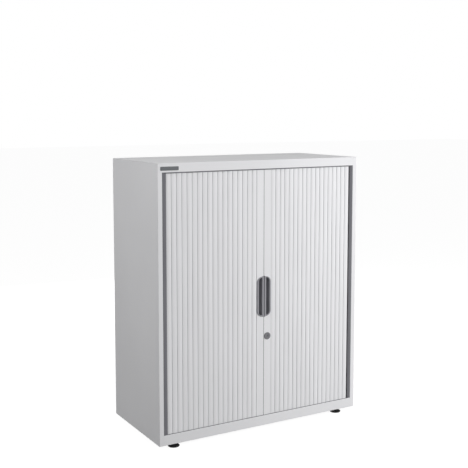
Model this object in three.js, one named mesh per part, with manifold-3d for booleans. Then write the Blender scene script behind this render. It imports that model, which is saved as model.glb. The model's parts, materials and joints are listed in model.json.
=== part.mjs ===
// A side-opening tambour door cabinet: a folded steel case on four levelling feet, with two curtains
// of upright slats that run in bent tracks and slip into pockets beside the shelves.
// Millimetres. +X is to the right, the front faces -Y, +Z is up, and the feet stand on z = 0.
import * as THREE from 'three';
import { mergeVertices } from 'three/addons/utils/BufferGeometryUtils.js';
import Module from 'manifold-3d';

const wasm = await Module();
wasm.setup();

// Case
const caseWidth = 1000;
const caseDepth = 462;
const caseHeight = 1167;
const footLift = 22;
const sheet = 1;
const touchGap = 0.3;
const foldRadius = 2.5;
const rimRadius = 1.6;
const stileFace = 21.5;
const stileReturn = 8;
const backFlange = 14;
const topRailFace = 38;
const bottomRailFace = 43;
const cutOverrun = 2;
const samePoint = 0.01;

// Blank plate on the top rail
const plateWidth = 82;
const plateHeight = 16;
const plateThickness = 1;
const plateCorner = 3;
const plateInset = 13;
const plateDrop = 22;

// Curtains
const slatsPerDoor = 18;
const slatsPerNode = 3;
const curtainRecess = 5;
const slatThickness = 7;
const slatCrown = 0.8;
const slatSkin = 1.9;
const slatRib = 3.2;
const slatShoulder = 0.5;
const grooveWidth = 1.9;
const webThickness = 1.3;
const webBehind = 1.6;
const tongueThickness = 4;
const tongueWidth = 9;
const tongueReach = 6;
const sealWidth = 17.5;
const sealThickness = 1.6;
const sealSlope = 3.4;
const sealBendShare = 0.33;

// Meeting line and lead rails
const meetOffset = 6.3;
const meetGap = 2;
const leadWidth = 35;
const leadDepth = 14;
const leadWall = 2;
const leadFace = 2.5;
const leadHook = 3;
const leadTongueWidth = 20;

// Tracks
const runGap = 0.6;
const trackWall = 2;
const trackFloor = 2.4;
const pocketOffset = 14;
const trackBend = 24;
const trayStep = 15.3;

// Inside
const linerInset = 23;
const linerFlange = 13;
const linerStart = 34;
const shelfCount = 2;
const shelfHeight = 28;
const shelfStart = 38;
const shelfBackGap = 8;
const shelfReturn = 12;
const shelfPlay = 0.8;
const slotsPerBay = 8;
const firstSlotRow = 2;
const slotWidth = 11;
const slotPlay = 0.6;
const slotSetback = 80;
const slotBackSetback = 62;
const clipThickness = 2;
const clipWidth = 10;
const clipShelf = 13;
const clipHook = 4;
const clipDrop = 10;
const clipReach = 2.5;

// Handles
const handleCentreHeight = 596;
const handleHeight = 182;
const handleOuter = 35.6;
const handleRadius = 32;
const lipStart = 2;
const recessStart = 9.5;
const recessEnd = 28;
const recessHeight = 166;
const recessDepth = 22;
const recessRadius = 17;
const cupWall = 1.6;
const rimProud = 4.4;
const rimSlope = 5.6;
const rimEdge = 1.1;
const rimSteps = 4;

// Lock
const lockBelowHandle = 71;
const lockFromEdge = 16.5;
const roseRadius = 15;
const roseThickness = 2.6;
const roseBevel = 0.8;
const barrelRadius = 9.5;
const barrelLength = 21;
const plugRadius = 6.5;
const plugStep = 1.2;
const keySlotWidth = 2;
const keySlotHeight = 8;
const keySlotDepth = 6;
const tailRadius = 3.5;
const hookPlate = 2;
const hookGap = 1;
const hookArm = 8;
const hookEye = 7;
const hookReach = 41;
const hookNose = 6.5;
const hookRise = 13;
const keeperGap = 1.5;
const keeperThickness = 1.6;
const keeperTall = 22;
const keeperLift = 2;

// Feet
const footInset = 81;
const footSetback = 34;
const padRadius = 25;
const padSoleRadius = 23;
const padEdge = 2;
const padRim = 5;
const padCrown = 8;
const padHubRadius = 9;
const padHub = 10;
const studRadius = 5;
const studTop = 44;
const studSeat = 4;
const bushWall = 2;
const bushFlange = 4;
const bushFlangeThickness = 1.5;
const bushRise = 14;

const foldSteps = 4;
const bendSteps = 8;
const crownSteps = 4;
const arcSteps = 2;
const roundSteps = 24;

// Levels and planes worked out from the sizes above
const half = caseWidth / 2;
const plateStand = touchGap + plateThickness;
const frontY = plateStand - (caseDepth + plateStand) / 2;
const caseBottom = footLift;
const caseTop = footLift + caseHeight;
const openingBottom = caseBottom + bottomRailFace;
const openingTop = caseTop - topRailFace;
const slatCentre = curtainRecess + slatThickness / 2;
const tongueHalf = tongueThickness / 2;
const trackHalf = tongueHalf + runGap + trackWall;
const trackRise = trackFloor + runGap + tongueReach;
const trayEdge = pocketOffset + trackHalf + touchGap;
const trayFront = slatCentre + trackHalf + touchGap;
const innerDepth = caseDepth - sheet - touchGap;
const lipDepth = curtainRecess - runGap;
const curtainEnd = half - stileFace - sealWidth;

const whitePaint = { color: 0xe4e5e6, roughness: 0.5, metalness: 0 };
const slatPlastic = { color: 0xe6e7e8, roughness: 0.55, metalness: 0 };
const sealPlastic = { color: 0x5d5d61, roughness: 0.7, metalness: 0 };
const trackPlastic = { color: 0x3a3b3d, roughness: 0.6, metalness: 0 };
const greyPlastic = { color: 0x77787b, roughness: 0.5, metalness: 0 };
const darkPlate = { color: 0x5b6063, roughness: 0.5, metalness: 0 };
const blackPlastic = { color: 0x131314, roughness: 0.6, metalness: 0 };
const zincSteel = { color: 0xb4b6b8, roughness: 0.35, metalness: 1 };
const dieCast = { color: 0x7b7d80, roughness: 0.4, metalness: 1 };

const cabinet = new THREE.Group();

// Solids are cut and joined as manifolds, and go back to a geometry at the end.
function solid(geometry) {
  const bare = geometry.index ? geometry.toNonIndexed() : geometry.clone();
  bare.deleteAttribute('normal');
  bare.deleteAttribute('uv');
  const merged = mergeVertices(bare);
  return new wasm.Manifold(
    new wasm.Mesh({
      numProp: 3,
      vertProperties: new Float32Array(merged.attributes.position.array),
      triVerts: new Uint32Array(merged.index.array),
    })
  );
}

function add(name, shape, look) {
  const cut = shape.getMesh();
  const geometry = new THREE.BufferGeometry();
  geometry.setAttribute('position', new THREE.BufferAttribute(cut.vertProperties, cut.numProp));
  geometry.setIndex(new THREE.BufferAttribute(cut.triVerts, 1));
  const mesh = new THREE.Mesh(geometry, new THREE.MeshStandardMaterial(look));
  mesh.name = name;
  cabinet.add(mesh);
}

function join(shapes) {
  return shapes.reduce((whole, shape) => whole.add(shape));
}

function box(x0, x1, y0, y1, z0, z1) {
  const geometry = new THREE.BoxGeometry(Math.abs(x1 - x0), Math.abs(y1 - y0), Math.abs(z1 - z0));
  return solid(geometry.translate((x0 + x1) / 2, (y0 + y1) / 2, (z0 + z1) / 2));
}

// A point of the plan: inset from the case's side face and depth behind its front plane.
// The side is -1 on the left and 1 on the right.
function plan(side, inset, depth) {
  return new THREE.Vector2(side * (half - inset), frontY + depth);
}

function planBox(side, inset0, inset1, depth0, depth1, z0, z1) {
  const a = plan(side, inset0, depth0);
  const b = plan(side, inset1, depth1);
  return box(a.x, b.x, a.y, b.y, z0, z1);
}

// A plan outline pulled up from z0 to z1
function pullUp(shape, z0, z1) {
  const settings = { depth: z1 - z0, curveSegments: arcSteps, bevelEnabled: false };
  return solid(new THREE.ExtrudeGeometry(shape, settings).translate(0, 0, z0));
}

// An outline in (y, z) pulled along X from x0 to x1
function pullAcross(shape, x0, x1) {
  const settings = { depth: x1 - x0, bevelEnabled: false };
  const geometry = new THREE.ExtrudeGeometry(shape, settings);
  const alongX = new THREE.Matrix4().makeBasis(
    new THREE.Vector3(0, 1, 0),
    new THREE.Vector3(0, 0, 1),
    new THREE.Vector3(1, 0, 0)
  );
  return solid(geometry.applyMatrix4(alongX).translate(x0, 0, 0));
}

// An outline in (x, z) pulled forward from yBack to yFront
function pullForward(shape, yBack, yFront) {
  const settings = { depth: yBack - yFront, curveSegments: arcSteps, bevelEnabled: false };
  const geometry = new THREE.ExtrudeGeometry(shape, settings);
  const towardsFront = new THREE.Matrix4().makeBasis(
    new THREE.Vector3(1, 0, 0),
    new THREE.Vector3(0, 0, 1),
    new THREE.Vector3(0, -1, 0)
  );
  return solid(geometry.applyMatrix4(towardsFront).translate(0, yBack, 0));
}

// A turned solid on an upright axis; its profile runs up from the axis and back to it
function turned(profile, x, y) {
  const points = profile.map(([radius, z]) => new THREE.Vector2(radius, z));
  const geometry = new THREE.LatheGeometry(points, roundSteps);
  return solid(geometry.rotateX(Math.PI / 2).translate(x, y, 0));
}

// The same on an axis that points to the back
function turnedBack(profile, x, y, z) {
  const points = profile.map(([radius, depth]) => new THREE.Vector2(radius, depth));
  return solid(new THREE.LatheGeometry(points, roundSteps).translate(x, y, z));
}

// Points along a bent strip's middle line, each with its unit normal, with an arc at each corner
function bentPath(corners, radius, steps) {
  const path = [];
  corners.forEach((corner, i) => {
    const before = corners[i - 1];
    const after = corners[i + 1];
    const into = before ? corner.clone().sub(before).normalize() : null;
    const out = after ? after.clone().sub(corner).normalize() : null;
    const heading = into || out;
    const normal = new THREE.Vector2(-heading.y, heading.x);
    if (!into || !out) {
      path.push({ point: corner.clone(), normal });
      return;
    }
    const hand = Math.sign(into.cross(out));
    const angle = Math.acos(THREE.MathUtils.clamp(into.dot(out), -1, 1));
    const start = corner.clone().addScaledVector(into, -radius * Math.tan(angle / 2));
    const centre = start.clone().addScaledVector(normal, hand * radius);
    for (let step = 0; step <= steps; step += 1) {
      const turnedNormal = normal.clone().rotateAround(new THREE.Vector2(), (hand * angle * step) / steps);
      const point = centre.clone().addScaledVector(turnedNormal, -hand * radius);
      path.push({ point, normal: turnedNormal });
    }
  });
  return path;
}

function strip(path, halfWidth) {
  const oneSide = path.map(({ point, normal }) => point.clone().addScaledVector(normal, halfWidth));
  const other = path.map(({ point, normal }) => point.clone().addScaledVector(normal, -halfWidth));
  return new THREE.Shape([...oneSide, ...other.reverse()]);
}

function foldedSheet(corners, outerRadius) {
  return strip(bentPath(corners, outerRadius - sheet / 2, foldSteps), sheet / 2);
}

// A rectangle about (x, y) with round corners
function roundedRect(x0, x1, y0, y1, radius) {
  const shape = new THREE.Shape();
  shape.moveTo(x0 + radius, y0);
  shape.lineTo(x1 - radius, y0);
  shape.absarc(x1 - radius, y0 + radius, radius, -Math.PI / 2, 0, false);
  shape.lineTo(x1, y1 - radius);
  shape.absarc(x1 - radius, y1 - radius, radius, 0, Math.PI / 2, false);
  shape.lineTo(x0 + radius, y1);
  shape.absarc(x0 + radius, y1 - radius, radius, Math.PI / 2, Math.PI, false);
  shape.lineTo(x0, y0 + radius);
  shape.absarc(x0 + radius, y0 + radius, radius, Math.PI, 1.5 * Math.PI, false);
  return shape;
}

// Side panels: wall, stile round the front corner with its return, and a flange at the back
const stileEnd = stileFace - foldRadius;
const wallBottom = caseBottom + rimRadius + touchGap;
const wallTop = caseTop - rimRadius - touchGap;
const stileBottom = openingBottom + touchGap;
const stileTop = openingTop - touchGap;

function sidePanel(side) {
  const flangeDepth = innerDepth - sheet / 2;
  const corners = [
    plan(side, backFlange, flangeDepth),
    plan(side, sheet / 2, flangeDepth),
    plan(side, sheet / 2, sheet / 2),
    plan(side, stileFace - sheet / 2, sheet / 2),
    plan(side, stileFace - sheet / 2, stileReturn),
  ];
  const folded = pullUp(foldedSheet(corners, foldRadius), wallBottom, wallTop);
  const turnIn = [stileEnd, stileFace + cutOverrun, -cutOverrun, stileReturn + cutOverrun];
  const below = planBox(side, ...turnIn, wallBottom - cutOverrun, stileBottom);
  const above = planBox(side, ...turnIn, stileTop, wallTop + cutOverrun);
  return folded.subtract(below).subtract(above);
}

add('left_side_panel', sidePanel(-1), whitePaint);
add('right_side_panel', sidePanel(1), whitePaint);

// Back panel, on the back flanges of the side panels
const backPlane = frontY + caseDepth;
add('back_panel', box(-half, half, backPlane - sheet, backPlane, wallBottom, wallTop), whitePaint);

// A shallow pan with a rounded rim, as the top and the base have; it opens away from its face
function pan(face, inwards) {
  const slab = (inset, rim) => {
    const edge = inset + rim;
    const corner = foldRadius - edge;
    const outline = roundedRect(-half + edge, half - edge, frontY + edge, backPlane - edge, corner);
    const rounding = { bevelThickness: rim, bevelSize: rim, bevelSegments: foldSteps };
    const geometry = new THREE.ExtrudeGeometry(outline, {
      depth: rimRadius,
      curveSegments: arcSteps,
      bevelEnabled: true,
      ...rounding,
    });
    const level = face + inwards * inset;
    const bottom = inwards > 0 ? level + rim : level - rim - rimRadius;
    return solid(geometry.translate(0, 0, bottom));
  };
  const rimLevel = face + inwards * rimRadius;
  const open = rimLevel + inwards * caseHeight;
  const beyond = half + cutOverrun;
  const behind = backPlane + cutOverrun;
  const levels = [Math.min(rimLevel, open), Math.max(rimLevel, open)];
  const keepOut = box(-beyond, beyond, frontY - cutOverrun, behind, ...levels);
  const hollow = slab(sheet, rimRadius - sheet);
  return slab(0, rimRadius).subtract(hollow).subtract(keepOut);
}

// A rail folded down or up from the pan's front rim, with a lip that turns back over the curtain
function rail(face, inwards, height) {
  const start = new THREE.Vector2(frontY + sheet / 2, face + inwards * rimRadius);
  const fold = new THREE.Vector2(frontY + sheet / 2, face + inwards * (height - sheet / 2));
  const lip = new THREE.Vector2(frontY + lipDepth, face + inwards * (height - sheet / 2));
  start.y -= inwards * (rimRadius - sheet);
  const reach = half - stileEnd - touchGap;
  return pullAcross(foldedSheet([start, fold, lip], rimRadius), -reach, reach);
}

const footPlaces = [
  ['front_left', -1, footSetback],
  ['front_right', 1, footSetback],
  ['back_left', -1, caseDepth - footSetback],
  ['back_right', 1, caseDepth - footSetback],
];
const bushBore = studRadius + touchGap;
const bushRadius = bushBore + bushWall;

function basePanel() {
  let panel = pan(caseBottom, 1).add(rail(caseBottom, 1, bottomRailFace));
  footPlaces.forEach(([, side, depth]) => {
    const { x, y } = plan(side, footInset, depth);
    const radius = bushRadius + touchGap;
    const low = caseBottom - cutOverrun;
    const high = caseBottom + sheet + cutOverrun;
    panel = panel.subtract(turned([[0, low], [radius, low], [radius, high], [0, high]], x, y));
  });
  return panel;
}

add('top_panel', pan(caseTop, -1).add(rail(caseTop, -1, topRailFace)), whitePaint);
add('base_panel', basePanel(), whitePaint);

// Floor and ceiling trays: a plate with rounded front corners, a step to the ledge that the tracks
// lie on, and a skirt from the ledge to the outer panel
const skirtInset = sheet + touchGap;
const trayBack = innerDepth - sheet - touchGap;

function trayOutline(edge, bend) {
  const left = plan(-1, trayEdge + edge, trayFront + edge);
  const right = plan(1, trayEdge + edge, trayBack - edge);
  return roundedRect(left.x, right.x, left.y, right.y, bend);
}

function slabUp(shape, level, inwards, thickness) {
  const other = level + inwards * thickness;
  return pullUp(shape, Math.min(level, other), Math.max(level, other));
}

function tray(plateFace, outerFace, towards) {
  const bend = trackBend - trackHalf - touchGap;
  const ledge = plateFace + towards * (trayStep + sheet);
  const skirtEnd = outerFace - towards * (sheet + touchGap);
  const stepHeight = Math.abs(ledge - plateFace);
  const plate = slabUp(trayOutline(0, bend), plateFace, towards, sheet);
  const step = slabUp(trayOutline(0, bend), plateFace, towards, stepHeight);
  const stepHollow = slabUp(trayOutline(sheet, bend - sheet), plateFace, towards, stepHeight + cutOverrun);
  const wall = step.subtract(stepHollow);
  const a = plan(-1, skirtInset, skirtInset);
  const b = plan(1, skirtInset, trayBack);
  const skirtHeight = Math.abs(skirtEnd - ledge) + sheet;
  const low = Math.min(ledge - towards * sheet, skirtEnd);
  const skirtOutline = roundedRect(a.x, b.x, a.y, b.y, foldRadius - skirtInset);
  const skirtSolid = pullUp(skirtOutline, low, low + skirtHeight);
  const from = Math.min(ledge, skirtEnd + towards * cutOverrun);
  const to = Math.max(ledge, skirtEnd + towards * cutOverrun);
  const skirtHollow = box(a.x + sheet, b.x - sheet, a.y + sheet, b.y - sheet, from, to);
  return skirtSolid.subtract(skirtHollow).subtract(stepHollow).add(wall).add(plate);
}

add('floor_tray', tray(openingBottom, caseBottom, -1), whitePaint);
add('ceiling_tray', tray(openingTop, caseTop, 1), whitePaint);

// Tracks: a channel along the front, round the corner and back beside the liner
function trackPath(side) {
  const middle = new THREE.Vector2(meetOffset + side * touchGap, frontY + slatCentre);
  const corners = [middle, plan(side, pocketOffset, slatCentre), plan(side, pocketOffset, trayBack)];
  return bentPath(corners, trackBend, bendSteps);
}

function track(side, plateFace, towards) {
  const base = plateFace + towards * (trayStep - touchGap);
  const whole = slabUp(strip(trackPath(side), trackHalf), base, -towards, trackRise);
  const groove = strip(trackPath(side), tongueHalf + runGap);
  return whole.subtract(slabUp(groove, base - towards * trackFloor, -towards, trackRise));
}

add('left_bottom_track', track(-1, openingBottom, -1), trackPlastic);
add('right_bottom_track', track(1, openingBottom, -1), trackPlastic);
add('left_top_track', track(-1, openingTop, 1), trackPlastic);
add('right_top_track', track(1, openingTop, 1), trackPlastic);

// Where the slats end and where their tongues end, below and above
const trackMouth = trayStep - touchGap - trackRise;
const slatBottom = openingBottom - trackMouth + runGap;
const slatTop = openingTop + trackMouth - runGap;
const tongueBottom = slatBottom - runGap - tongueReach;
const tongueTop = slatTop + runGap + tongueReach;

// Shelf places and the rows of slots in the liners
const slotColumns = [slotSetback, caseDepth - slotBackSetback];
const clearHeight = openingTop - openingBottom;
const bayPitch = (clearHeight + shelfHeight) / (shelfCount + 1);
const slotPitch = bayPitch / slotsPerBay;
const shelfSeats = Array.from({ length: shelfCount }, (unused, i) => {
  return openingBottom + (i + 1) * bayPitch - shelfHeight;
});
const slotHeight = clipThickness + 2 * slotPlay;
const clipLevel = -touchGap - clipThickness / 2;

function liner(side) {
  const near = linerStart + sheet / 2;
  const far = innerDepth - touchGap - sheet / 2;
  const middle = linerInset + sheet / 2;
  const corners = [
    plan(side, linerInset + linerFlange, near),
    plan(side, middle, near),
    plan(side, middle, far),
    plan(side, linerInset + linerFlange, far),
  ];
  let panel = pullUp(foldedSheet(corners, foldRadius), openingBottom + touchGap, openingTop - touchGap);
  const rows = slotsPerBay * (shelfCount + 1);
  for (let row = firstSlotRow; row < rows; row += 1) {
    const level = openingBottom - shelfHeight + row * slotPitch + clipLevel;
    slotColumns.forEach((depth) => {
      const across = [linerInset - cutOverrun, linerInset + sheet + cutOverrun];
      const along = [depth - slotWidth / 2, depth + slotWidth / 2];
      const slot = planBox(side, ...across, ...along, level - slotHeight / 2, level + slotHeight / 2);
      panel = panel.subtract(slot);
    });
  }
  return panel;
}

add('left_liner', liner(-1), whitePaint);
add('right_liner', liner(1), whitePaint);

// Shelves: a sheet folded down front and back, returned below, with a flange at each end
const shelfInset = linerInset + sheet + shelfPlay;
const shelfEnd = caseDepth - shelfBackGap;

function shelf(seat) {
  const top = seat + shelfHeight;
  const yz = (depth, z) => new THREE.Vector2(frontY + depth, z);
  const corners = [
    yz(shelfStart + shelfReturn, seat + sheet / 2),
    yz(shelfStart + sheet / 2, seat + sheet / 2),
    yz(shelfStart + sheet / 2, top - sheet / 2),
    yz(shelfEnd - sheet / 2, top - sheet / 2),
    yz(shelfEnd - sheet / 2, seat),
  ];
  const reach = half - shelfInset;
  const folded = pullAcross(foldedSheet(corners, foldRadius), -reach, reach);
  const ends = [-1, 1].map((side) => {
    const inner = [shelfStart + sheet, shelfEnd - sheet / 2];
    return planBox(side, shelfInset, shelfInset + sheet, ...inner, seat + sheet / 2, top - sheet / 2);
  });
  return join([folded, ...ends]);
}

add('lower_shelf', shelf(shelfSeats[0]), whitePaint);
add('upper_shelf', shelf(shelfSeats[1]), whitePaint);

// Clips: a tongue through the liner's slot, hooked up behind it, and a ledge under the shelf
function shelfClip(side, depth, seat) {
  const low = seat - touchGap - clipThickness;
  const along = [depth - clipWidth / 2, depth + clipWidth / 2];
  const tip = linerInset - clipReach;
  const face = linerInset + sheet + touchGap;
  const ledge = planBox(side, tip, linerInset + sheet + clipShelf, ...along, low, low + clipThickness);
  const leg = planBox(side, face, face + clipThickness, ...along, low - clipDrop, low + clipThickness);
  const hook = planBox(side, tip, linerInset - touchGap, ...along, low, low + clipThickness + clipHook);
  return join([ledge, leg, hook]);
}

['lower', 'upper'].forEach((level, i) => {
  [['left', -1], ['right', 1]].forEach(([hand, side]) => {
    slotColumns.forEach((depth, column) => {
      const place = column === 0 ? 'front' : 'back';
      add(`${level}_shelf_clip_${hand}_${place}`, shelfClip(side, depth, shelfSeats[i]), zincSteel);
    });
  });
});

// Seal strips, from the stile's return to just short of the curtain's last slat
function sealStrip(side) {
  const root = stileFace + touchGap;
  const tip = stileFace + sealWidth - sealThickness;
  const rootDepth = stileReturn - sealThickness / 2;
  const corners = [
    plan(side, root, rootDepth),
    plan(side, (root + tip) / 2, rootDepth - sealBendShare * sealSlope),
    plan(side, tip, rootDepth - sealSlope),
  ];
  const path = bentPath(corners, sealWidth, foldSteps);
  return pullUp(strip(path, sealThickness / 2), stileBottom, stileTop);
}

add('left_seal_strip', sealStrip(-1), sealPlastic);
add('right_seal_strip', sealStrip(1), sealPlastic);

// Blank plate
function blankPlate() {
  const left = -half + plateInset;
  const middle = caseTop - plateDrop;
  const low = middle - plateHeight / 2;
  const outline = roundedRect(left, left + plateWidth, low, low + plateHeight, plateCorner);
  return pullForward(outline, frontY - touchGap, frontY - plateStand);
}

add('blank_plate', blankPlate(), darkPlate);

// Curtains: each slat is gently crowned in front and hollow behind, and a web hinges it to the next
function slatGroup(side, first, pitch, edge) {
  const at = (along, depth) => new THREE.Vector2(edge + side * along, frontY + curtainRecess + depth);
  const sink = grooveWidth / 2;
  const webFront = slatThickness / 2 - webThickness / 2;
  const webBack = webFront + webThickness;
  const front = [];
  const back = [];
  for (let i = 0; i < slatsPerNode; i += 1) {
    const start = (first + i) * pitch;
    const end = start + pitch;
    const from = i === 0 ? start + touchGap / 2 : start;
    const to = i === slatsPerNode - 1 ? end - touchGap / 2 : end;
    front.push(at(from, webFront), at(start + sink, webFront), at(start + sink, slatCrown + slatShoulder));
    for (let step = 0; step <= crownSteps; step += 1) {
      const share = step / crownSteps;
      const inner = start + sink + slatShoulder + share * (pitch - 2 * sink - 2 * slatShoulder);
      front.push(at(inner, slatCrown * (2 * share - 1) ** 2));
    }
    front.push(at(end - sink, slatCrown + slatShoulder), at(end - sink, webFront), at(to, webFront));
    const ribs = [start + sink, start + sink + slatRib, end - sink - slatRib, end - sink];
    back.push(at(from, webBack), at(ribs[0], webBack), at(ribs[0] + webBehind / 2, slatThickness));
    back.push(at(ribs[1], slatThickness), at(ribs[1], slatSkin + slatCrown));
    back.push(at(ribs[2], slatSkin + slatCrown), at(ribs[2], slatThickness));
    back.push(at(ribs[3] - webBehind / 2, slatThickness), at(ribs[3], webBack), at(to, webBack));
  }
  const outline = [...front, ...back.reverse()].filter((point, i, all) => {
    const next = all[(i + 1) % all.length];
    return point.distanceTo(next) > samePoint;
  });
  let group = pullUp(new THREE.Shape(outline), slatBottom, slatTop);
  for (let i = 0; i < slatsPerNode; i += 1) {
    const middle = edge + side * ((first + i) * pitch + pitch / 2);
    const x0 = middle - tongueWidth / 2;
    const x1 = middle + tongueWidth / 2;
    const y0 = frontY + slatCentre - tongueHalf;
    const y1 = frontY + slatCentre + tongueHalf;
    group = group.add(box(x0, x1, y0, y1, tongueBottom, slatBottom + tongueWidth));
    group = group.add(box(x0, x1, y0, y1, slatTop - tongueWidth, tongueTop));
  }
  return group;
}

[['left', -1], ['right', 1]].forEach(([hand, side]) => {
  const edge = meetOffset + side * (meetGap / 2 + leadWidth);
  const pitch = (curtainEnd - side * edge) / slatsPerDoor;
  for (let first = 0; first < slatsPerDoor; first += slatsPerNode) {
    const number = first / slatsPerNode + 1;
    add(`${hand}_slats_${number}`, slatGroup(side, first, pitch, edge), slatPlastic);
  }
});

// Outlines on the lead rails: a D with its straight side towards the meeting line
function dShape(side, near, far, middle, height, radius) {
  const x = (across) => meetOffset + side * across;
  const points = [];
  const low = middle - height / 2;
  const high = middle + height / 2;
  points.push(new THREE.Vector2(x(near), high), new THREE.Vector2(x(near), low));
  for (let step = 0; step <= bendSteps; step += 1) {
    const angle = -Math.PI / 2 + (Math.PI / 2) * (step / bendSteps);
    const across = far - radius + radius * Math.cos(angle);
    points.push(new THREE.Vector2(x(across), low + radius + radius * Math.sin(angle)));
  }
  for (let step = 0; step <= bendSteps; step += 1) {
    const angle = (Math.PI / 2) * (step / bendSteps);
    const across = far - radius + radius * Math.cos(angle);
    points.push(new THREE.Vector2(x(across), high - radius + radius * Math.sin(angle)));
  }
  return new THREE.Shape(points);
}

const leadPlane = frontY + curtainRecess;
const cupGap = cupWall + touchGap;
const lockAcross = meetGap / 2 + lockFromEdge;
const lockHeight = handleCentreHeight - handleHeight / 2 - lockBelowHandle - roseRadius;

// Lead rails: an open-backed channel with a hole for the handle's cup, and on the right for the lock
function leadRail(side) {
  const near = meetGap / 2;
  const far = near + leadWidth;
  const x = (across) => meetOffset + side * across;
  const y = (depth) => leadPlane + depth;
  const outline = [
    [near, 0],
    [far - touchGap / 2, 0],
    [far - touchGap / 2, leadDepth],
    [far - leadWall - leadHook, leadDepth],
    [far - leadWall - leadHook, leadDepth - leadWall],
    [far - leadWall, leadDepth - leadWall],
    [far - leadWall, leadFace],
    [near + leadWall, leadFace],
    [near + leadWall, leadDepth - leadWall],
    [near + leadWall + leadHook, leadDepth - leadWall],
    [near + leadWall + leadHook, leadDepth],
    [near, leadDepth],
  ].map(([across, depth]) => new THREE.Vector2(x(across), y(depth)));
  let shape = pullUp(new THREE.Shape(outline), slatBottom, slatTop);
  const shallow = [x(near - cutOverrun), x(far + cutOverrun), y(slatThickness), y(leadDepth + cutOverrun)];
  shape = shape.subtract(box(...shallow, slatBottom - cutOverrun, openingBottom + sheet));
  shape = shape.subtract(box(...shallow, openingTop - sheet, slatTop + cutOverrun));
  const middle = (near + far) / 2;
  const tongue = [x(middle - leadTongueWidth / 2), x(middle + leadTongueWidth / 2)];
  const thick = [frontY + slatCentre - tongueHalf, frontY + slatCentre + tongueHalf];
  shape = shape.add(box(...tongue, ...thick, tongueBottom, slatBottom + tongueWidth));
  shape = shape.add(box(...tongue, ...thick, slatTop - tongueWidth, tongueTop));
  const cupHeight = recessHeight + 2 * cupGap;
  const cupHole = dShape(
    side,
    recessStart - cupGap,
    recessEnd + cupGap,
    handleCentreHeight,
    cupHeight,
    recessRadius + cupGap
  );
  shape = shape.subtract(pullForward(cupHole, y(leadDepth + cutOverrun), y(-cutOverrun)));
  if (side > 0) {
    const hole = barrelRadius + touchGap;
    const behind = leadFace + cutOverrun;
    const bore = [[0, -cutOverrun], [hole, -cutOverrun], [hole, behind], [0, behind]];
    shape = shape.subtract(turnedBack(bore, x(lockAcross), leadPlane, lockHeight));
  }
  return shape;
}

add('left_lead_rail', leadRail(-1), slatPlastic);
add('right_lead_rail', leadRail(1), slatPlastic);

// Handles: a sloped rim in front of the lead rail round a finger cup that goes through it
function handle(side) {
  const proud = leadPlane - touchGap - rimProud;
  const seat = leadPlane - touchGap;
  const flange = pullForward(
    dShape(side, lipStart, handleOuter, handleCentreHeight, handleHeight, handleRadius),
    seat,
    seat - rimEdge
  );
  const layers = [flange];
  for (let step = 1; step <= rimSteps; step += 1) {
    const share = step / rimSteps;
    const rise = Math.sin((share * Math.PI) / 2);
    const narrow = rimSlope * share * share;
    const outline = dShape(
      side,
      lipStart + rimEdge * share * share,
      handleOuter - narrow,
      handleCentreHeight,
      handleHeight - 2 * narrow,
      handleRadius - narrow
    );
    layers.push(pullForward(outline, seat, seat - rimEdge - (rimProud - rimEdge) * rise));
  }
  const shell = dShape(
    side,
    recessStart - cupWall,
    recessEnd + cupWall,
    handleCentreHeight,
    recessHeight + 2 * cupWall,
    recessRadius + cupWall
  );
  layers.push(pullForward(shell, leadPlane + recessDepth + cupWall, seat - rimEdge));
  const recess = dShape(side, recessStart, recessEnd, handleCentreHeight, recessHeight, recessRadius);
  return join(layers).subtract(pullForward(recess, leadPlane + recessDepth, proud - cutOverrun));
}

add('left_handle', handle(-1), greyPlastic);
add('right_handle', handle(1), greyPlastic);

// Lock: a housing with its rose through the right lead rail, the plug that turns in it, and a hook
const lockX = meetOffset + lockAcross;
const roseFront = touchGap + roseThickness;
const plugBore = plugRadius + touchGap;

function lockHousing() {
  return turnedBack(
    [
      [plugBore, -roseFront],
      [roseRadius - roseBevel, -roseFront],
      [roseRadius, -roseFront + roseBevel],
      [roseRadius, -touchGap],
      [barrelRadius, -touchGap],
      [barrelRadius, barrelLength],
      [plugBore, barrelLength],
      [plugBore, -roseFront],
    ],
    lockX,
    leadPlane,
    lockHeight
  );
}

const hookFront = barrelLength + hookGap;
const hookBack = hookFront + hookPlate;

function lockPlug() {
  const body = turnedBack(
    [
      [0, -roseFront + plugStep],
      [plugRadius, -roseFront + plugStep],
      [plugRadius, hookFront - touchGap],
      [tailRadius, hookFront - touchGap],
      [tailRadius, hookBack + plugStep],
      [0, hookBack + plugStep],
    ],
    lockX,
    leadPlane,
    lockHeight
  );
  const slot = box(
    lockX - keySlotWidth / 2,
    lockX + keySlotWidth / 2,
    leadPlane - roseFront - cutOverrun,
    leadPlane - roseFront + plugStep + keySlotDepth,
    lockHeight - keySlotHeight / 2,
    lockHeight + keySlotHeight / 2
  );
  return body.subtract(slot);
}

// The hook hangs down when the lock is open; turned, it points left with its nose upwards.
function lockHook() {
  const hole = tailRadius + touchGap;
  const armHalf = hookArm / 2;
  const end = lockHeight - hookReach;
  const arm = new THREE.Shape([
    new THREE.Vector2(lockX - armHalf, lockHeight),
    new THREE.Vector2(lockX - armHalf, end + hookNose),
    new THREE.Vector2(lockX - hookRise, end + hookNose),
    new THREE.Vector2(lockX - hookRise, end),
    new THREE.Vector2(lockX + armHalf, end),
    new THREE.Vector2(lockX + armHalf, lockHeight),
  ]);
  const disc = (radius, front, back) => {
    return turnedBack([[0, front], [radius, front], [radius, back], [0, back]], lockX, leadPlane, lockHeight);
  };
  const eye = disc(hookEye, hookFront, hookBack);
  const bore = disc(hole, hookFront - cutOverrun, hookBack + cutOverrun);
  return eye.add(pullForward(arm, leadPlane + hookBack, leadPlane + hookFront)).subtract(bore);
}

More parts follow.
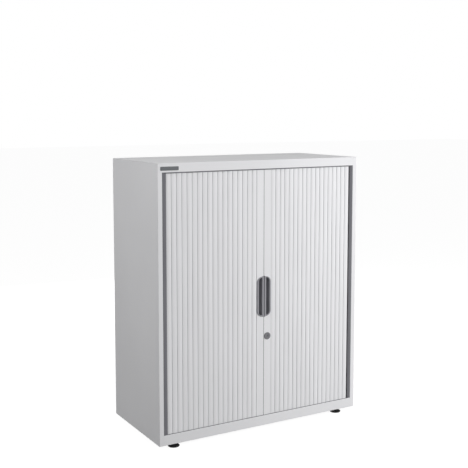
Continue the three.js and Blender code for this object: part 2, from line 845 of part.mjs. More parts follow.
// The keeper stands behind the left lead rail, so that the hook's nose rises behind its ear.
function lockKeeper() {
  const railEdge = meetOffset - meetGap / 2;
  const noseInner = lockX - hookReach + hookNose;
  const ear = noseInner + keeperGap;
  const low = lockHeight + hookArm / 2 + keeperLift;
  const backEnd = leadPlane + hookBack + keeperLift;
  const seat = leadPlane + leadDepth + touchGap;
  const farEdge = railEdge - leadWidth + leadWall;
  const bridge = box(farEdge, railEdge - leadWall, seat, seat + keeperThickness, low, low + keeperTall);
  const wall = box(ear, ear + keeperThickness, seat, backEnd, low, low + keeperTall);
  return bridge.add(wall);
}

add('lock_housing', lockHousing(), dieCast);
add('lock_plug', lockPlug(), dieCast);
add('lock_hook', lockHook(), zincSteel);
add('lock_keeper', lockKeeper(), zincSteel);

// Feet: a pad on a stud that screws into a bush in the base
footPlaces.forEach(([place, side, depth]) => {
  const { x, y } = plan(side, footInset, depth);
  const socket = studRadius + touchGap;
  const pad = [
    [0, 0],
    [padSoleRadius, 0],
    [padRadius, padEdge],
    [padRadius, padRim],
    [padHubRadius + padEdge, padCrown],
    [padHubRadius, padCrown],
    [padHubRadius, padHub],
    [socket, padHub],
    [socket, studSeat],
    [0, studSeat],
  ];
  add(`${place}_foot_pad`, turned(pad, x, y), blackPlastic);
  const stud = [
    [0, studSeat + touchGap],
    [studRadius, studSeat + touchGap],
    [studRadius, studTop],
    [0, studTop],
  ];
  add(`${place}_foot_stud`, turned(stud, x, y), zincSteel);
  const seat = caseBottom - touchGap;
  const bush = [
    [bushBore, seat - bushFlangeThickness],
    [bushRadius + bushFlange, seat - bushFlangeThickness],
    [bushRadius + bushFlange, seat],
    [bushRadius, seat],
    [bushRadius, seat + bushRise],
    [bushBore, seat + bushRise],
    [bushBore, seat - bushFlangeThickness],
  ];
  add(`${place}_foot_bush`, turned(bush, x, y), zincSteel);
});

export default cabinet;
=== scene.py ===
import json
import math
import bmesh
import bpy
from mathutils import Matrix, Vector


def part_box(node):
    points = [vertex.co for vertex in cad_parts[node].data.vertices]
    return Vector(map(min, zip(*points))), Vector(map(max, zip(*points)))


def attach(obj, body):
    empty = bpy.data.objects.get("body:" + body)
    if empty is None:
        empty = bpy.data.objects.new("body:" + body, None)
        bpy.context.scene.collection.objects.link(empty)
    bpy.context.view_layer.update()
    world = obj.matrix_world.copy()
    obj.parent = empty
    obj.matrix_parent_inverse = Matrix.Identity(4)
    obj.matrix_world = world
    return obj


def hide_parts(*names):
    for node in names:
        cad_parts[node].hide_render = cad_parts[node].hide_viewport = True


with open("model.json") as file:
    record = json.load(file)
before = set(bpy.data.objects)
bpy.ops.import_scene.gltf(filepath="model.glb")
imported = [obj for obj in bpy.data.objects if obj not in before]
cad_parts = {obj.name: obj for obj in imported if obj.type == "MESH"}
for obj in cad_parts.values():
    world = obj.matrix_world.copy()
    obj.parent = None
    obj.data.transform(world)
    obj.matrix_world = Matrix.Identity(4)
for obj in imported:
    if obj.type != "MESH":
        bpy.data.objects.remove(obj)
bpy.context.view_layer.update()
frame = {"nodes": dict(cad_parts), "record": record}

# Sizes in the settings are in millimetres. Only the camera, the floor and the lamps are set in metres
millimetre = 0.001
mergeDistance = 0.002 * millimetre
tolerance = 0.01 * millimetre
print("frame loaded")

# The camera stands where the photograph was taken from, to the left of the cabinet and above its top
cameraSettings = {
    "place": (-1.9683, -3.3662, 1.3936),
    "turnRight": 30.157,
    "lookDown": 5.428,
    "sensor": 36,
    "lens": 66.713,
    "shiftY": -0.085,
}
cameraData = bpy.data.cameras.new("photoCamera")
cameraData.sensor_width = cameraSettings["sensor"]
cameraData.lens = cameraSettings["lens"]
cameraData.shift_y = cameraSettings["shiftY"]
cameraObject = bpy.data.objects.new("photoCamera", cameraData)
cameraObject.location = cameraSettings["place"]
cameraObject.rotation_euler = (
    math.radians(90 - cameraSettings["lookDown"]),
    0,
    math.radians(-cameraSettings["turnRight"]),
)
bpy.context.scene.collection.objects.link(cameraObject)
bpy.context.scene.camera = cameraObject
bpy.context.scene.view_settings.view_transform = "Standard"


# Materials, with their colours written as sRGB and turned to linear by the standard's own curve
def toLinear(hexColour):
    channels = [int(hexColour[i:i + 2], 16) / 255 for i in (1, 3, 5)]
    linear = [c / 12.92 if c <= 0.04045 else ((c + 0.055) / 1.055) ** 2.4 for c in channels]
    return (*linear, 1)


def addNode(tree, kind, sockets=None, **settings):
    node = tree.nodes.new(kind)
    for name, value in settings.items():
        setattr(node, name, value)
    for name, value in (sockets or {}).items():
        if isinstance(value, bpy.types.NodeSocket):
            tree.links.new(value, node.inputs[name])
        else:
            node.inputs[name].default_value = value
    return node


def newMaterial(name):
    material = bpy.data.materials.new(name)
    material.use_nodes = True
    material.node_tree.nodes.clear()
    return material, material.node_tree


def perMetre(sizeInMillimetres):
    return 1 / (sizeInMillimetres * millimetre)


# Polyester powder coat on folded sheet steel, sprayed and baked: an even satin skin with a soft orange
# peel. The real peel is about 2 mm from crest to crest, and is drawn at 4 mm to show.
def powderCoat(name, colours):
    settings = {
        "peel": 4, "peelDepth": 0.25, "peelStrength": 0.16, "patch": 420, "patchLow": 0.35, "patchHigh": 0.65,
        "speck": 9, "roughLow": 0.44, "roughHigh": 0.56,
    }
    material, tree = newMaterial(name)
    place = addNode(tree, "ShaderNodeTexCoord")
    peel = addNode(tree, "ShaderNodeTexNoise", {
        "Vector": place.outputs["Object"], "Scale": perMetre(settings["peel"]),
        "Detail": 2, "Roughness": 0.45})
    patch = addNode(tree, "ShaderNodeTexNoise", {
        "Vector": place.outputs["Object"], "Scale": perMetre(settings["patch"]), "Detail": 3})
    speck = addNode(tree, "ShaderNodeTexNoise", {
        "Vector": place.outputs["Object"], "Scale": perMetre(settings["speck"]), "Detail": 4})
    tone = addNode(tree, "ShaderNodeValToRGB", {"Fac": patch.outputs["Fac"]})
    tone.color_ramp.elements[0].position = settings["patchLow"]
    tone.color_ramp.elements[0].color = toLinear(colours[0])
    tone.color_ramp.elements[1].position = settings["patchHigh"]
    tone.color_ramp.elements[1].color = toLinear(colours[1])
    rough = addNode(tree, "ShaderNodeMapRange", {
        "Value": speck.outputs["Fac"], "From Min": 0.3, "From Max": 0.7,
        "To Min": settings["roughLow"], "To Max": settings["roughHigh"]})
    bump = addNode(tree, "ShaderNodeBump", {
        "Height": peel.outputs["Fac"], "Strength": settings["peelStrength"],
        "Distance": settings["peelDepth"] * millimetre})
    shader = addNode(tree, "ShaderNodeBsdfPrincipled", {
        "Base Color": tone.outputs["Color"], "Roughness": rough.outputs["Result"],
        "Normal": bump.outputs["Normal"], "IOR": 1.5})
    addNode(tree, "ShaderNodeOutputMaterial", {"Surface": shader.outputs["BSDF"]})
    return material


# Extruded plastic profiles, drawn through a die: long faint lines that run along Z and a soft satin sheen.
# The real lines lie about 0.3 mm apart, and are drawn at 1.2 mm to show.
def extruded(name, colours, roughness, lines=1.2, depth=0.1):
    settings = {
        "lineStretch": 0.004, "lineStrength": 0.2, "roughSpread": 0.05,
        "drift": 55, "driftStretch": 0.12, "driftLow": 0.32, "driftHigh": 0.68,
    }
    material, tree = newMaterial(name)
    place = addNode(tree, "ShaderNodeTexCoord")
    along = addNode(tree, "ShaderNodeMapping", {
        "Vector": place.outputs["Object"], "Scale": (1, 1, settings["lineStretch"])})
    dieLines = addNode(tree, "ShaderNodeTexNoise", {
        "Vector": along.outputs["Vector"], "Scale": perMetre(lines), "Detail": 3, "Roughness": 0.6})
    batch = addNode(tree, "ShaderNodeMapping", {
        "Vector": place.outputs["Object"], "Scale": (1, 1, settings["driftStretch"])})
    drift = addNode(tree, "ShaderNodeTexNoise", {
        "Vector": batch.outputs["Vector"], "Scale": perMetre(settings["drift"]), "Detail": 2})
    tone = addNode(tree, "ShaderNodeValToRGB", {"Fac": drift.outputs["Fac"]})
    tone.color_ramp.elements[0].position = settings["driftLow"]
    tone.color_ramp.elements[0].color = toLinear(colours[0])
    tone.color_ramp.elements[1].position = settings["driftHigh"]
    tone.color_ramp.elements[1].color = toLinear(colours[1])
    rough = addNode(tree, "ShaderNodeMapRange", {
        "Value": dieLines.outputs["Fac"],
        "To Min": roughness - settings["roughSpread"], "To Max": roughness + settings["roughSpread"]})
    bump = addNode(tree, "ShaderNodeBump", {
        "Height": dieLines.outputs["Fac"], "Strength": settings["lineStrength"],
        "Distance": depth * millimetre})
    shader = addNode(tree, "ShaderNodeBsdfPrincipled", {
        "Base Color": tone.outputs["Color"], "Roughness": rough.outputs["Result"],
        "Normal": bump.outputs["Normal"], "IOR": 1.52})
    addNode(tree, "ShaderNodeOutputMaterial", {"Surface": shader.outputs["BSDF"]})
    return material


# Moulded ABS and nylon from a spark-eroded tool: an even fine grain that breaks up the gloss.
# The real grain is about 0.2 mm, and is drawn at 0.8 mm to show.
def moulded(name, colours, roughness):
    settings = {
        "grain": 0.8, "grainDepth": 0.08, "grainStrength": 0.25, "roughSpread": 0.08,
        "flow": 30, "flowLow": 0.3, "flowHigh": 0.7,
    }
    material, tree = newMaterial(name)
    place = addNode(tree, "ShaderNodeTexCoord")
    fine = addNode(tree, "ShaderNodeTexNoise", {
        "Vector": place.outputs["Object"], "Scale": perMetre(settings["grain"]),
        "Detail": 3, "Roughness": 0.6})
    flow = addNode(tree, "ShaderNodeTexNoise", {
        "Vector": place.outputs["Object"], "Scale": perMetre(settings["flow"]), "Detail": 2})
    tone = addNode(tree, "ShaderNodeValToRGB", {"Fac": flow.outputs["Fac"]})
    tone.color_ramp.elements[0].position = settings["flowLow"]
    tone.color_ramp.elements[0].color = toLinear(colours[0])
    tone.color_ramp.elements[1].position = settings["flowHigh"]
    tone.color_ramp.elements[1].color = toLinear(colours[1])
    rough = addNode(tree, "ShaderNodeMapRange", {
        "Value": fine.outputs["Fac"],
        "To Min": roughness - settings["roughSpread"], "To Max": roughness + settings["roughSpread"]})
    bump = addNode(tree, "ShaderNodeBump", {
        "Height": fine.outputs["Fac"], "Strength": settings["grainStrength"],
        "Distance": settings["grainDepth"] * millimetre})
    shader = addNode(tree, "ShaderNodeBsdfPrincipled", {
        "Base Color": tone.outputs["Color"], "Roughness": rough.outputs["Result"],
        "Normal": bump.outputs["Normal"], "IOR": 1.53})
    addNode(tree, "ShaderNodeOutputMaterial", {"Surface": shader.outputs["BSDF"]})
    return material


# Plated metal: bright zinc on pressed steel, or satin nickel on a zinc die casting. Zinc shows a mottled,
# slightly blue passivation in patches of a few millimetres, and nickel a fine blasted grain.
def plated(name, colours, roughness, mottle, grain):
    settings = {
        "mottleLow": 0.35, "mottleHigh": 0.65, "roughSpread": 0.07, "grainDepth": 0.05, "grainStrength": 0.15,
    }
    material, tree = newMaterial(name)
    place = addNode(tree, "ShaderNodeTexCoord")
    patches = addNode(tree, "ShaderNodeTexNoise", {
        "Vector": place.outputs["Object"], "Scale": perMetre(mottle), "Detail": 4, "Roughness": 0.6})
    fine = addNode(tree, "ShaderNodeTexNoise", {
        "Vector": place.outputs["Object"], "Scale": perMetre(grain), "Detail": 2})
    tone = addNode(tree, "ShaderNodeValToRGB", {"Fac": patches.outputs["Fac"]})
    tone.color_ramp.elements[0].position = settings["mottleLow"]
    tone.color_ramp.elements[0].color = toLinear(colours[0])
    tone.color_ramp.elements[1].position = settings["mottleHigh"]
    tone.color_ramp.elements[1].color = toLinear(colours[1])
    rough = addNode(tree, "ShaderNodeMapRange", {
        "Value": patches.outputs["Fac"], "From Min": 0.3, "From Max": 0.7,
        "To Min": roughness - settings["roughSpread"], "To Max": roughness + settings["roughSpread"]})
    bump = addNode(tree, "ShaderNodeBump", {
        "Height": fine.outputs["Fac"], "Strength": settings["grainStrength"],
        "Distance": settings["grainDepth"] * millimetre})
    shader = addNode(tree, "ShaderNodeBsdfPrincipled", {
        "Base Color": tone.outputs["Color"], "Roughness": rough.outputs["Result"],
        "Normal": bump.outputs["Normal"], "Metallic": 1})
    addNode(tree, "ShaderNodeOutputMaterial", {"Surface": shader.outputs["BSDF"]})
    return material


finishes = {
    "case_paint": powderCoat("powderCoatedSteelCase", ("#E5E5E7", "#E9E9EB")),
    "inner_paint": powderCoat("powderCoatedSteelInner", ("#E3E3E5", "#E7E7E9")),
    "slat_plastic": extruded("extrudedPvcSlat", ("#E7E7E9", "#EBEBED"), roughness=0.46),
    # Dark track plastic is the tracks' own colour; on the lip in the slit between the doors the same dark is
    # painted shade.
    "track_plastic": extruded("extrudedPvcTrackAndPaintedShade", ("#2A2B2D", "#303133"), roughness=0.5),
    # Seal plastic: a dark grey. On the thin strips inside the rails it is painted shadow, and beside the
    # curtains it is partly painted shade.
    "seal_plastic": extruded("extrudedTpeSealAndPaintedShade", ("#6A6A6F", "#737378"), roughness=0.62, lines=2, depth=0.3),
    "handle_plastic": moulded("mouldedAbsHandle", ("#95959A", "#9C9CA1"), roughness=0.5),
    "plate_plastic": moulded("mouldedAbsPlate", ("#64676A", "#6B6E71"), roughness=0.45),
    "lock_metal": plated("satinNickelDieCast", ("#717174", "#7E7E81"), roughness=0.4, mottle=14, grain=0.5),
    "zinc_steel": plated("brightZincSteel", ("#B9BDC3", "#C9CAC8"), roughness=0.34, mottle=6, grain=0.6),
    "foot_plastic": moulded("mouldedNylonFoot", ("#141415", "#1B1B1C"), roughness=0.52),
}
for part in frame["record"]["subparts"]:
    node = frame["nodes"][part["node"]]
    node.data.materials.clear()
    node.data.materials.append(finishes[part["material_slot"]])
print("materials made:", len(finishes))


# Every new piece is merged, turned outwards, shaded smooth with its folds kept sharp, and set on its body.
def makePiece(name, bm, body, slotName, *replaced, sharp=38):
    bmesh.ops.remove_doubles(bm, verts=bm.verts, dist=mergeDistance)
    bmesh.ops.recalc_face_normals(bm, faces=bm.faces)
    mesh = bpy.data.meshes.new(name)
    bm.to_mesh(mesh)
    bm.free()
    mesh.shade_smooth()
    mesh.set_sharp_from_angle(angle=math.radians(sharp))
    mesh.materials.append(finishes[slotName])
    piece = bpy.data.objects.new(name, mesh)
    bpy.context.scene.collection.objects.link(piece)
    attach(piece, body)
    if replaced:
        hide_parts(*replaced)


def addBlock(bm, low, high, rounding=0, segments=2):
    size = [b - a for a, b in zip(low, high)]
    middle = [(a + b) / 2 for a, b in zip(low, high)]
    place = Matrix.Translation(middle) @ Matrix.Diagonal((*size, 1))
    made = bmesh.ops.create_cube(bm, size=1, matrix=place)
    if rounding:
        edges = {edge for vert in made["verts"] for edge in vert.link_edges}
        bmesh.ops.bevel(
            bm, geom=list(edges), offset=rounding, segments=segments, profile=0.5,
            affect="EDGES", material=-1)


# A rectangle that stands in the XZ plane and faces the front
def addStanding(bm, x0, x1, z0, z1, y, columns=1):
    made = bmesh.ops.create_grid(bm, x_segments=columns, y_segments=1, size=0.5)
    place = Matrix.Translation(((x0 + x1) / 2, y, (z0 + z1) / 2))
    place = place @ Matrix.Rotation(math.radians(90), 4, "X") @ Matrix.Diagonal((x1 - x0, z1 - z0, 1, 1))
    bmesh.ops.transform(bm, matrix=place, verts=made["verts"])
    return made["verts"]


# A turned shape: its profile holds distances from the axis and along it
def addTurned(bm, profile, centre, axis, steps=48):
    axis = Vector(axis)
    outwards = axis.orthogonal().normalized()
    points = [Vector(centre) + outwards * radius + axis * along for radius, along in profile]
    verts = [bm.verts.new(point) for point in points]
    edges = [bm.edges.new(pair) for pair in zip(verts, verts[1:])]
    bmesh.ops.spin(
        bm, geom=verts + edges, cent=centre, axis=axis, angle=math.tau, steps=steps, use_merge=True)


# Curtains: crowned slats with rounded shoulders, a hinge web behind them and a tongue at each end
slatSettings = {
    "perCurtain": 18, "groove": 1.95, "crown": 1.2, "shoulder": 0.75, "thickness": 7,
    "webFront": 3.9, "web": 1.3,
    "tongue": 6.6, "tongueWidth": 9, "tongueThickness": 4, "tongueRound": 0.5, "tongueRoot": 1,
    "steps": 12, "shoulderSteps": 4, "nodesEach": 6,
}


def addSlat(bm, x0, x1, z0, z1, front):
    s = {key: value * millimetre for key, value in slatSettings.items()}
    verts = addStanding(bm, x0, x1, z0, z1, front, slatSettings["steps"])
    middle, half = (x0 + x1) / 2, (x1 - x0) / 2
    for vert in verts:
        vert.co.y += s["crown"] * ((vert.co.x - middle) / half) ** 2
    faces = list({face for vert in verts for face in vert.link_faces})
    made = bmesh.ops.extrude_face_region(bm, geom=faces)
    rear = [item for item in made["geom"] if isinstance(item, bmesh.types.BMVert)]
    for vert in rear:
        vert.co.y = front + s["thickness"]
    shoulders = [
        edge for vert in verts if vert.is_valid for edge in vert.link_edges
        if all(v in verts for v in edge.verts)
        and all(abs(abs(v.co.x - middle) - half) < tolerance for v in edge.verts)
    ]
    bmesh.ops.bevel(
        bm, geom=list(set(shoulders)), offset=s["shoulder"], segments=slatSettings["shoulderSteps"],
        profile=0.5, affect="EDGES", material=-1)


def makeCurtain(hand):
    s = {key: value * millimetre for key, value in slatSettings.items()}
    nodes = [f"{hand}_slats_{number}" for number in range(1, slatSettings["nodesEach"] + 1)]
    boxes = [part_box(node) for node in nodes]
    low = Vector([min(box[0][i] for box in boxes) for i in range(3)])
    high = Vector([max(box[1][i] for box in boxes) for i in range(3)])
    pitch = (high.x - low.x) / slatSettings["perCurtain"]
    bottom, top = low.z + s["tongue"], high.z - s["tongue"]
    bm = bmesh.new()
    for number in range(slatSettings["perCurtain"]):
        start = low.x + number * pitch
        addSlat(bm, start + s["groove"] / 2, start + pitch - s["groove"] / 2, bottom, top, low.y)
        middle = start + pitch / 2
        across = (middle - s["tongueWidth"] / 2, middle + s["tongueWidth"] / 2)
        centre = low.y + s["thickness"] / 2
        through = (centre - s["tongueThickness"] / 2, centre + s["tongueThickness"] / 2)
        for z0, z1 in ((low.z, bottom + s["tongueRoot"]), (top - s["tongueRoot"], high.z)):
            addBlock(bm, (across[0], through[0], z0), (across[1], through[1], z1), s["tongueRound"])
    web = low.y + s["webFront"]
    addBlock(bm, (low.x, web, bottom), (high.x, web + s["web"], top))
    makePiece(f"{hand}Curtain", bm, f"{hand}_curtain", "slat_plastic", *nodes)


for hand in ("left", "right"):
    makeCurtain(hand)
print("curtains made")


# Handles: a finger cup inside a raised rim that slopes down to the rail. The rim's inner side is a lip that
# runs on to a point above and below the cup. Each half is lofted through rings of the same outline.
handleSettings = {
    "meeting": 6.3, "centre": 596, "gap": 0.3, "arc": 12, "steps": 8,
    "start": 1.4, "end": 35.4, "height": 175.6, "corner": 26, "tongue": 182, "tongueEnd": 9, "edge": 0.9,
    "proud": 3.6, "slope": 4.6, "endSlope": 2.8, "lipSlope": 3.2,
    "cupStart": 9.6, "cupEnd": 27.6, "cupHeight": 166, "cupCorner": 16, "cupDepth": 21.5, "wall": 1.6,
    "fillet": 4, "filletSteps": 5, "round": 0.8, "roundSteps": 3, "step": 0.15, "shortest": 0.4,
}


# One ring: a tongue beside the meeting line, and an outer side with round corners
def addRing(bm, side, start, end, height, corner, depth, tongue=0):
    h = handleSettings
    reach = max(tongue, height) / 2
    turn = max(h["tongueEnd"], start + h["shortest"])
    outline = [
        (start, reach), (turn, height / 2), (end, height / 2),
        (end, -height / 2), (turn, -height / 2), (start, -reach)]
    verts = [
        bm.verts.new([v * millimetre for v in (h["meeting"] + side * x, depth, h["centre"] + z)])
        for x, z in outline]
    bm.faces.new(verts)
    bmesh.ops.bevel(
        bm, geom=verts[2:4], offset=corner * millimetre, segments=h["arc"], profile=0.5,
        affect="VERTICES", material=-1)
    face = verts[0].link_faces[0]
    edges = list(face.edges)
    bmesh.ops.delete(bm, geom=[face], context="FACES_ONLY")
    return edges


def makeHandle(hand, side):
    h = handleSettings
    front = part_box(f"{hand}_lead_rail")[0].y / millimetre - h["gap"]
    wall, crest = h["wall"], front - h["proud"]
    floor = front + h["gap"] + h["cupDepth"]
    shell = (h["cupStart"] - wall, h["cupEnd"] + wall, h["cupHeight"] + 2 * wall, h["cupCorner"] + wall)
    rings = [(*shell, floor + wall), (*shell, front + h["step"])]
    for depth in (front, front - h["edge"]):
        rings.append((h["start"], h["end"], h["height"], h["corner"], depth, h["tongue"]))
    for step in range(1, h["steps"] + 1):
        turn = step / h["steps"] * math.pi / 2
        fall = 1 - math.cos(turn)
        rings.append((
            h["start"] + h["lipSlope"] * fall, h["end"] - h["slope"] * fall,
            h["height"] - 2 * h["endSlope"] * fall, h["corner"] - h["slope"] * fall,
            front - h["edge"] - (h["proud"] - h["edge"]) * math.sin(turn),
            h["tongue"] - 2 * h["endSlope"] * fall))
    for step in range(h["roundSteps"] + 1):
        turn = step / h["roundSteps"] * math.pi / 2
        wider = h["round"] * (1 - math.sin(turn))
        rings.append((
            h["cupStart"] - wider, h["cupEnd"] + wider, h["cupHeight"] + 2 * wider, h["cupCorner"] + wider,
            crest + h["step"] + h["round"] * (1 - math.cos(turn))))
    for step in range(h["filletSteps"] + 1):
        turn = step / h["filletSteps"] * math.pi / 2
        inset = h["fillet"] * (1 - math.cos(turn))
        rings.append((
            h["cupStart"] + inset, h["cupEnd"] - inset,
            h["cupHeight"] - 2 * inset, h["cupCorner"] - 2 * inset,
            floor - h["fillet"] * (1 - math.sin(turn))))
    bm = bmesh.new()
    loops = [addRing(bm, side, *ring) for ring in rings]
    for before, after in zip(loops, loops[1:]):
        bmesh.ops.bridge_loops(bm, edges=before + after)
    bmesh.ops.edgeloop_fill(bm, edges=loops[0])
    bmesh.ops.edgeloop_fill(bm, edges=loops[-1])
    makePiece(f"{hand}Handle", bm, f"{hand}_door", "handle_plastic", f"{hand}_handle", sharp=32)


makeHandle("left", -1)
makeHandle("right", 1)
print("handles made")

# Lock rose: a bevelled ring on a barrel, with the plug turning inside it
roseSettings = {
    "bore": 6.8, "chamfer": 0.3, "radius": 15.7, "rim": 1.2, "bevel": 0.9, "bevelSteps": 4, "thickness": 2.6,
    "barrel": 9.5, "gap": 0.3, "length": 21, "steps": 64,
}


def makeRose():
    r = roseSettings
    low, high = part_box("lock_housing")
    centre = ((low.x + high.x) / 2, low.y, (low.z + high.z) / 2)
    depth = r["thickness"]
    back = depth + r["length"] + r["gap"]
    profile = [
        (r["bore"], r["chamfer"]), (r["bore"] + r["chamfer"], 0), (r["radius"] - r["bevel"] - r["rim"], 0)]
    for step in range(r["bevelSteps"] + 1):
        angle = step / r["bevelSteps"] * math.pi / 2
        profile.append((
            r["radius"] - r["bevel"] * (1 - math.sin(angle)), r["bevel"] * (1 - math.cos(angle))))
    profile += [
        (r["radius"], depth), (r["barrel"], depth), (r["barrel"], back), (r["bore"], back),
        (r["bore"], r["chamfer"]),
    ]
    bm = bmesh.new()
    addTurned(bm, [(a * millimetre, b * millimetre) for a, b in profile], centre, (0, 1, 0), r["steps"])
    makePiece("lockRose", bm, "right_door", "lock_metal", "lock_housing", sharp=30)


makeRose()

# Feet: a moulded pad with a soft rim, and a threaded stud. Each crest of the thread is a narrow flat,
# given as shares of the pitch
footSettings = {
    "pitch": 1.5, "core": 4.1, "stud": 5, "low": 4.3, "high": 44, "runout": 1, "crest": (0.45, 0.55),
    "chamfer": 0.6, "studSteps": 28, "padSteps": 56,
    "pad": [
        (0, 0), (22, 0), (23.4, 0.5), (24.6, 1.6), (25, 3), (24.7, 4.3), (23.6, 5.2), (18, 6.4), (12.5, 7.6),
        (10.6, 8.2), (9.4, 9), (8.9, 10), (5.3, 10), (5.3, 4), (0, 4),
    ],
}


def makeFoot(place):
    f = footSettings
    low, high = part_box(f"{place}_foot_pad")
    centre = ((low.x + high.x) / 2, (low.y + high.y) / 2, 0)
    bm = bmesh.new()
    profile = [(a * millimetre, b * millimetre) for a, b in f["pad"]]
    addTurned(bm, profile, centre, (0, 0, 1), f["padSteps"])
    makePiece(f"{place}FootPad", bm, f"{place}_foot", "foot_plastic", f"{place}_foot_pad")
    first = f["low"] + f["runout"]
    turns = int((f["high"] - f["low"] - 2 * f["runout"]) / f["pitch"])
    thread = [(0, f["low"]), (f["core"], f["low"])]
    for turn in range(turns):
        start = first + turn * f["pitch"]
        thread.append((f["core"], start))
        thread += [(f["stud"], start + f["pitch"] * share) for share in f["crest"]]
    thread += [
        (f["core"], first + turns * f["pitch"]), (f["core"] - f["chamfer"], f["high"]), (0, f["high"])]
    bm = bmesh.new()
    addTurned(bm, [(a * millimetre, b * millimetre) for a, b in thread], centre, (0, 0, 1), f["studSteps"])
    makePiece(f"{place}FootStud", bm, f"{place}_foot", "zinc_steel", f"{place}_foot_stud", sharp=25)


for place in ("front_left", "front_right", "back_left", "back_right"):
    makeFoot(place)
print("lock and feet made")

# Blank plate on the top rail: a plain rounded rectangle with softened edges
plateSettings = {"corner": 3, "cornerSteps": 8, "edge": 0.35, "edgeSteps": 3}


def makePlate():
    low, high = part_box("blank_plate")
    bm = bmesh.new()
    verts = addStanding(bm, low.x, high.x, low.z, high.z, low.y)
    bmesh.ops.bevel(
        bm, geom=verts, offset=plateSettings["corner"] * millimetre, segments=plateSettings["cornerSteps"],
        profile=0.5, affect="VERTICES", material=-1)
    made = bmesh.ops.extrude_face_region(bm, geom=bm.faces[:])
    rear = [item for item in made["geom"] if isinstance(item, bmesh.types.BMVert)]
    bmesh.ops.translate(bm, verts=rear, vec=(0, high.y - low.y, 0))
    rim = [edge for edge in bm.edges if all(abs(vert.co.y - low.y) < tolerance for vert in edge.verts)]
    bmesh.ops.bevel(
        bm, geom=rim, offset=plateSettings["edge"] * millimetre, segments=plateSettings["edgeSteps"],
        profile=0.5, affect="EDGES", material=-1)
    makePiece("blankPlate", bm, "case", "plate_plastic", "blank_plate")


makePlate()

# Back: a thin sheet with a shallow field pressed into it. Each ring holds its distance from the sheet's
# edge, its depth and its corner's radius
backSettings = {
    "thickness": 1, "arc": 6,
    "rings": [(0.1, 0.02, 0.6), (45, 0.15, 24), (48, 0.85, 21), (53, 2.45, 16), (56, 3.15, 13)],
}


def makeBack():
    low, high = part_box("back_panel")
    bm = bmesh.new()
    loops = []
    for ring in backSettings["rings"]:
        inset, depth, corner = [value * millimetre for value in ring]
        verts = addStanding(bm, low.x + inset, high.x - inset, low.z + inset, high.z - inset, high.y - depth)
        bmesh.ops.bevel(
            bm, geom=verts, offset=corner, segments=backSettings["arc"], profile=0.5,
            affect="VERTICES", material=-1)
        face = next(iter(bm.faces))
        loops.append(list(face.edges))
        bmesh.ops.delete(bm, geom=[face], context="FACES_ONLY")
    for before, after in zip(loops, loops[1:]):
        bmesh.ops.bridge_loops(bm, edges=before + after)
    bmesh.ops.edgeloop_fill(bm, edges=loops[-1])
    bmesh.ops.recalc_face_normals(bm, faces=bm.faces)
    bmesh.ops.solidify(bm, geom=bm.faces[:], thickness=backSettings["thickness"] * millimetre)
    makePiece("backPanel", bm, "case", "case_paint", "back_panel", sharp=10)


makeBack()

# Seals and painted shade: a soft dark grey strip beside each curtain, whose darkness is partly painted shade
# for the gap there, a dark lip that closes the slit between the doors and is painted shade for that slit, and
# thin dark strips inside the top and bottom rails that are painted shadow lines. The left strip reaches past
# its solid's edge, and the right one stops short
sealAndShadeSettings = {
    "lipWidth": 1.8, "lipBack": 0.15, "lipDepth": 5, "lipEnd": 4, "lipRound": 0.5, "meeting": 6.3,
    "thickness": 1, "leg": 6, "legStep": 0.2,
    "shadeStripFront": 1.0, "shadeStripBack": 4.5, "shadeStripEnd": 478, "shadeStripRound": 0.4,
}
rampReach = {"left": 1.3, "right": -1.2}
# Heights of the thin dark strips inside the top and bottom rails, which are painted shadow lines under the
# top rail and above the bottom rail.
shadeStripHeights = {"topShadeStrip": (1147.5, 1150.7), "bottomShadeStrip": (65.3, 66.8)}


# A strip slopes from the stile's edge down to the curtain. Each point holds a share of its width and a depth
rampProfile = [(0, 0.35), (0.25, 0.5), (0.5, 1.1), (0.75, 2.2), (1, 3.6)]


# The strips' dark grey is partly their own colour and partly painted shade: it also stands in for the shade
# in the gap between each stile and its curtain.
def makeRamp(hand):
    low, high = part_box(f"{hand}_seal_strip")
    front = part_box("top_panel")[0].y
    s = {key: value * millimetre for key, value in sealAndShadeSettings.items()}
    reach = rampReach[hand] * millimetre
    root, tip = (low.x, high.x + reach) if hand == "left" else (high.x, low.x - reach)
    face = [(root + (tip - root) * share, front + depth * millimetre) for share, depth in rampProfile]
    back = [(x, y + s["thickness"]) for x, y in reversed(face[1:])]
    inside = root + math.copysign(s["thickness"], tip - root)
    leg = [(inside, back[-1][1] + s["legStep"]), (inside, front + s["leg"]), (root, front + s["leg"])]
    bm = bmesh.new()
    bottom = bm.faces.new([bm.verts.new((x, y, low.z)) for x, y in face + back + leg])
    made = bmesh.ops.extrude_face_region(bm, geom=[bottom])
    top = [item for item in made["geom"] if isinstance(item, bmesh.types.BMVert)]
    bmesh.ops.translate(bm, verts=top, vec=(0, 0, high.z - low.z))
    makePiece(f"{hand}SealRampAndShade", bm, "case", "seal_plastic", f"{hand}_seal_strip")


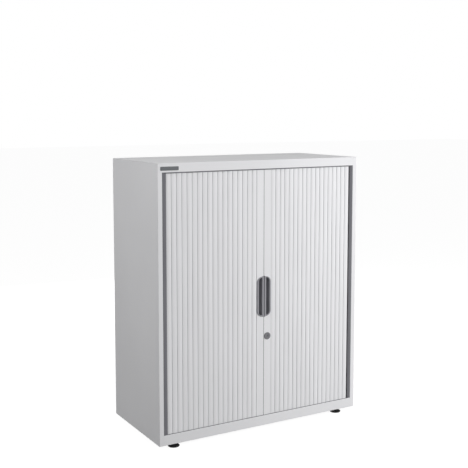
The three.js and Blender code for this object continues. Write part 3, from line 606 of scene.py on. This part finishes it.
def makeSealsAndShadeStrips():
    makeRamp("left")
    makeRamp("right")
    s = {key: value * millimetre for key, value in sealAndShadeSettings.items()}
    # The dark lip in the slit between the doors is painted shade: a dark piece set where the slit is shaded.
    low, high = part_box("left_lead_rail")
    bm = bmesh.new()
    addBlock(
        bm, (s["meeting"] - s["lipWidth"] / 2, low.y + s["lipBack"], low.z + s["lipEnd"]),
        (s["meeting"] + s["lipWidth"] / 2, low.y + s["lipBack"] + s["lipDepth"], high.z - s["lipEnd"]),
        s["lipRound"], segments=3)
    makePiece("meetingShadeLip", bm, "left_door", "track_plastic")
    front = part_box("top_panel")[0].y
    # Painted shadow lines: thin dark strips under the top rail and above the bottom rail.
    for name, (bottom, top) in shadeStripHeights.items():
        bm = bmesh.new()
        addBlock(
            bm, (-s["shadeStripEnd"], front + s["shadeStripFront"], bottom * millimetre),
            (s["shadeStripEnd"], front + s["shadeStripBack"], top * millimetre), s["shadeStripRound"], segments=3)
        makePiece(name, bm, "case", "seal_plastic")


makeSealsAndShadeStrips()

# Stage: a plain pale floor that shows white to the camera and keeps the soft shadow, and a white backdrop
stageSettings = {"floor": 30, "floorColour": "#747474", "lift": 0.94, "world": 0.21}


def backgroundRays(tree):
    rays = addNode(tree, "ShaderNodeLightPath")
    first = addNode(tree, "ShaderNodeMath", {
        0: rays.outputs["Is Camera Ray"], 1: rays.outputs["Is Glossy Ray"]}, operation="MAXIMUM")
    return addNode(tree, "ShaderNodeMath", {
        0: first.outputs[0], 1: rays.outputs["Is Transmission Ray"]}, operation="MAXIMUM").outputs[0]


floorMaterial, floorTree = newMaterial("seamlessPaper")
seen = backgroundRays(floorTree)
lift = addNode(floorTree, "ShaderNodeMath", {0: seen, 1: stageSettings["lift"]}, operation="MULTIPLY")
paper = addNode(floorTree, "ShaderNodeBsdfDiffuse", {"Color": toLinear(stageSettings["floorColour"])})
glow = addNode(floorTree, "ShaderNodeEmission", {"Color": (1, 1, 1, 1), "Strength": lift.outputs[0]})
both = addNode(floorTree, "ShaderNodeAddShader", {0: paper.outputs[0], 1: glow.outputs[0]})
addNode(floorTree, "ShaderNodeOutputMaterial", {"Surface": both.outputs[0]})
bm = bmesh.new()
bmesh.ops.create_grid(bm, x_segments=4, y_segments=4, size=stageSettings["floor"])
floorMesh = bpy.data.meshes.new("studioFloor")
bm.to_mesh(floorMesh)
bm.free()
floorMesh.materials.append(floorMaterial)
studioFloor = bpy.data.objects.new("studioFloor", floorMesh)
bpy.context.scene.collection.objects.link(studioFloor)

world = bpy.data.worlds.new("studioWorld")
world.use_nodes = True
world.node_tree.nodes.clear()
bpy.context.scene.world = world
seen = backgroundRays(world.node_tree)
level = addNode(world.node_tree, "ShaderNodeMapRange", {
    "Value": seen, "To Min": stageSettings["world"], "To Max": 1})
sky = addNode(world.node_tree, "ShaderNodeBackground", {
    "Color": (1, 1, 1, 1), "Strength": level.outputs["Result"]})
addNode(world.node_tree, "ShaderNodeOutputWorld", {"Surface": sky.outputs[0]})

# Lamps: a large soft box from the front right, a weak one from the left and one from behind. None shows
# in gloss, where the white backdrop is seen instead
lampSettings = {
    "keyLamp": {"place": (2.3, -3.1, 1.9), "aim": (0.1, 0, 0.4), "size": 1.8, "power": 142},
    "leftLamp": {"place": (-2.4, -0.4, 1.9), "aim": (-0.4, 0.05, 1.0), "size": 1.4, "power": 23},
    "backLamp": {"place": (0.4, 3.3, 1.0), "aim": (0, 0, 0.6), "size": 1.6, "power": 40},
}
for name, lamp in lampSettings.items():
    lampData = bpy.data.lights.new(name, "AREA")
    lampData.shape = "SQUARE"
    lampData.size = lamp["size"]
    lampData.energy = lamp["power"]
    lampObject = bpy.data.objects.new(name, lampData)
    lampObject.visible_glossy = False
    lampObject.location = lamp["place"]
    direction = Vector(lamp["aim"]) - Vector(lamp["place"])
    lampObject.rotation_euler = direction.to_track_quat("-Z", "Y").to_euler()
    bpy.context.scene.collection.objects.link(lampObject)
print("stage and lamps made")
